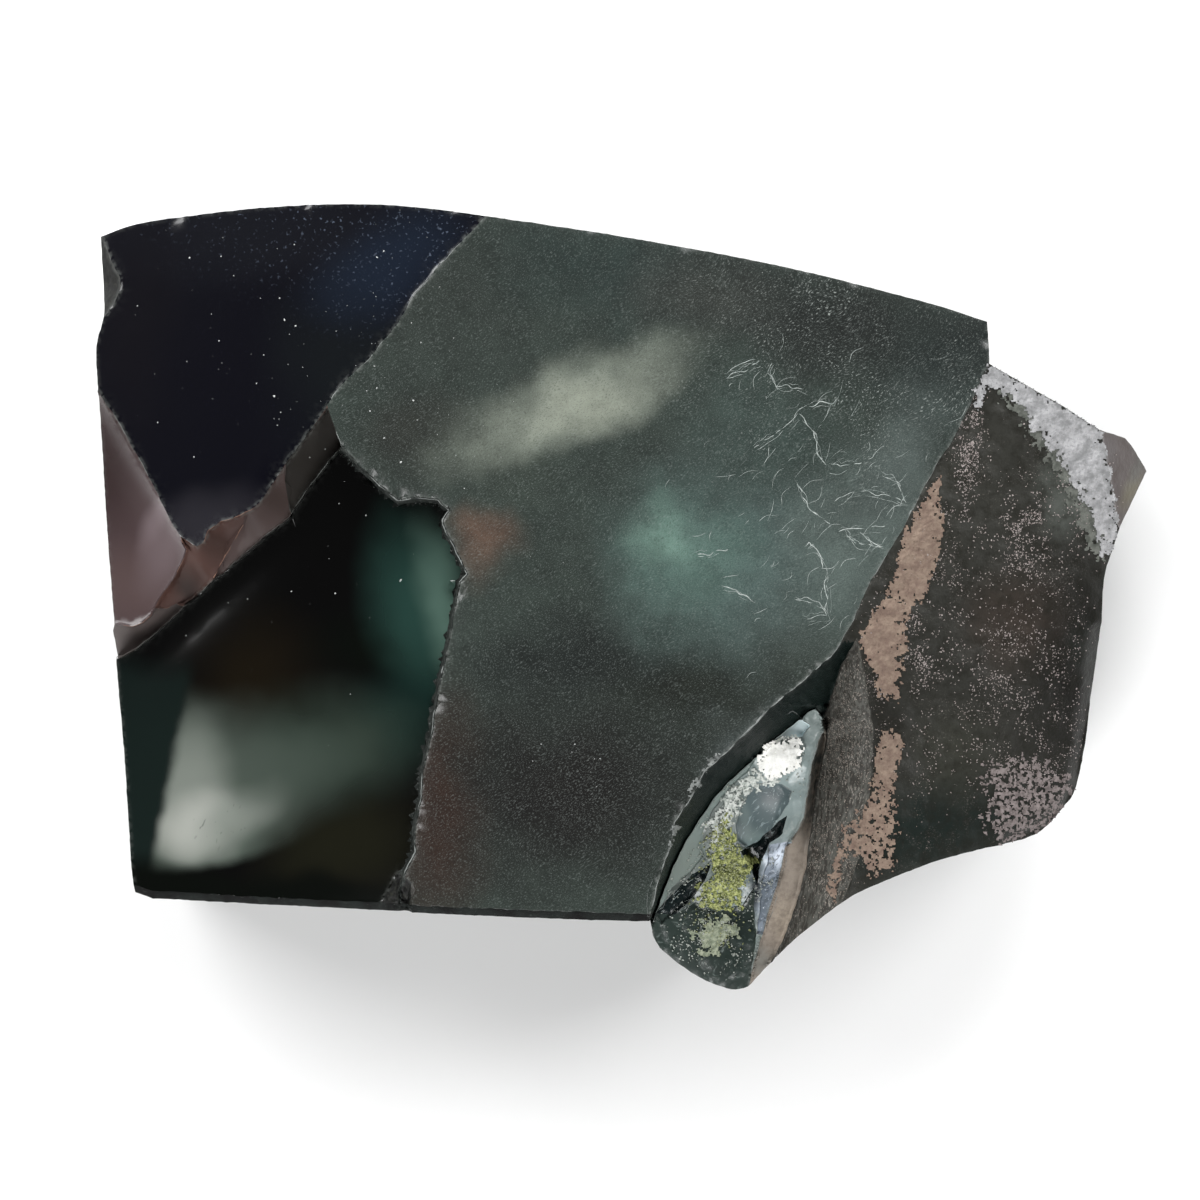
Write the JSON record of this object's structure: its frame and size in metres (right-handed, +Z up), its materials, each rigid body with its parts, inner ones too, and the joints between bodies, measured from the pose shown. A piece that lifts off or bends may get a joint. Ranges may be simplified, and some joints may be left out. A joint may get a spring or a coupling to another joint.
{
  "type": "rough glass chunk",
  "caption": "Broken chunk of thick dark green furnace glass with a hazy flat top, glossy shell-shaped fractures and a crusted weathered side.",
  "frame": {"origin": "centre of the bounding box in plan, at the flat underside it rests on", "axes": "+Z up out of the hazy top face, +X along the longest side towards the pointed crusted end, +Y towards the curved cast wall"},
  "size_m": [0.1896, 0.1414, 0.0584],
  "materials": {
    "dark_glass": "nearly opaque dark bottle-green glass, glossy on the breaks and scuffed to a haze on the top face"
  },
  "bodies": {
    "root": {"glass_chunk": "dark_glass"}
  },
  "joints": []
}
